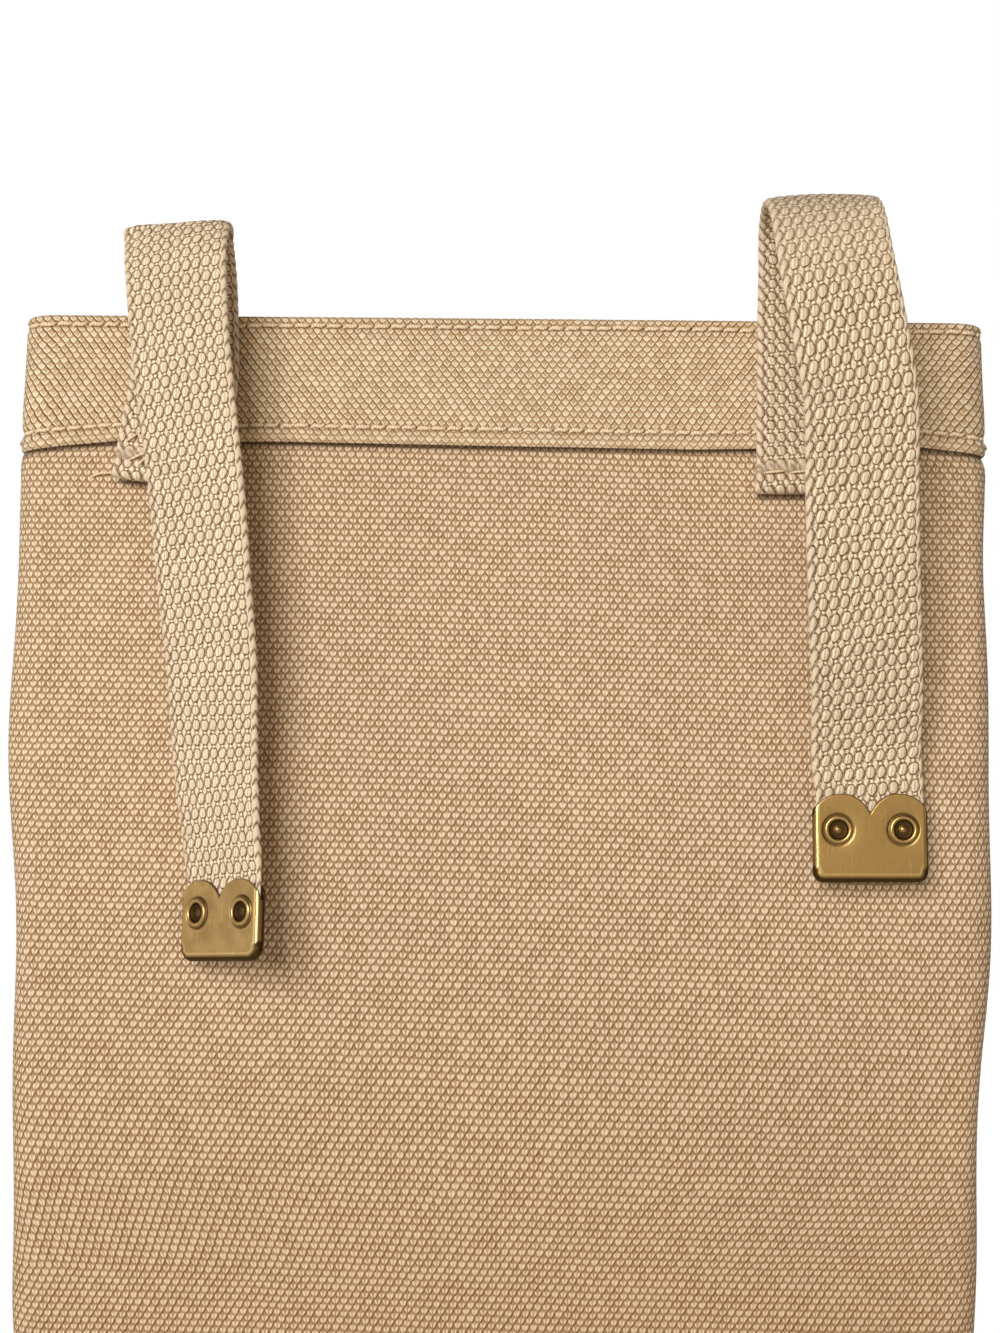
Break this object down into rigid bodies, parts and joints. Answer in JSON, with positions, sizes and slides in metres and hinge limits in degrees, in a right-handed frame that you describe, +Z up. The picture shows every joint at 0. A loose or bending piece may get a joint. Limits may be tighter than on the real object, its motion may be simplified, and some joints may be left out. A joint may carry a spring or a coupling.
{
  "type": "military rucksack",
  "caption": "Open-mouthed canvas military rucksack with a turned-over hem, a lapped base and webbing straps looped over the rim, each ending in a riveted brass tip.",
  "frame": {"origin": "middle of the base's underside, on the floor", "axes": "+Z up to the mouth, -Y out of the front panel that carries the straps, +X to the right as seen from the front"},
  "size_m": [0.2352, 0.0965, 0.3177],
  "materials": {
    "canvas": "coarse matt weave",
    "webbing": "coarse pebbled weave",
    "brass": "aged satin"
  },
  "bodies": {
    "root": {"body_wall": "canvas", "mouth_hem": "canvas", "base_panel": "canvas", "strap_left": "webbing", "strap_right": "webbing", "tip_left": "brass", "tip_right": "brass", "rivet_left_a": "brass", "rivet_left_b": "brass", "rivet_right_a": "brass", "rivet_right_b": "brass"}
  },
  "joints": []
}
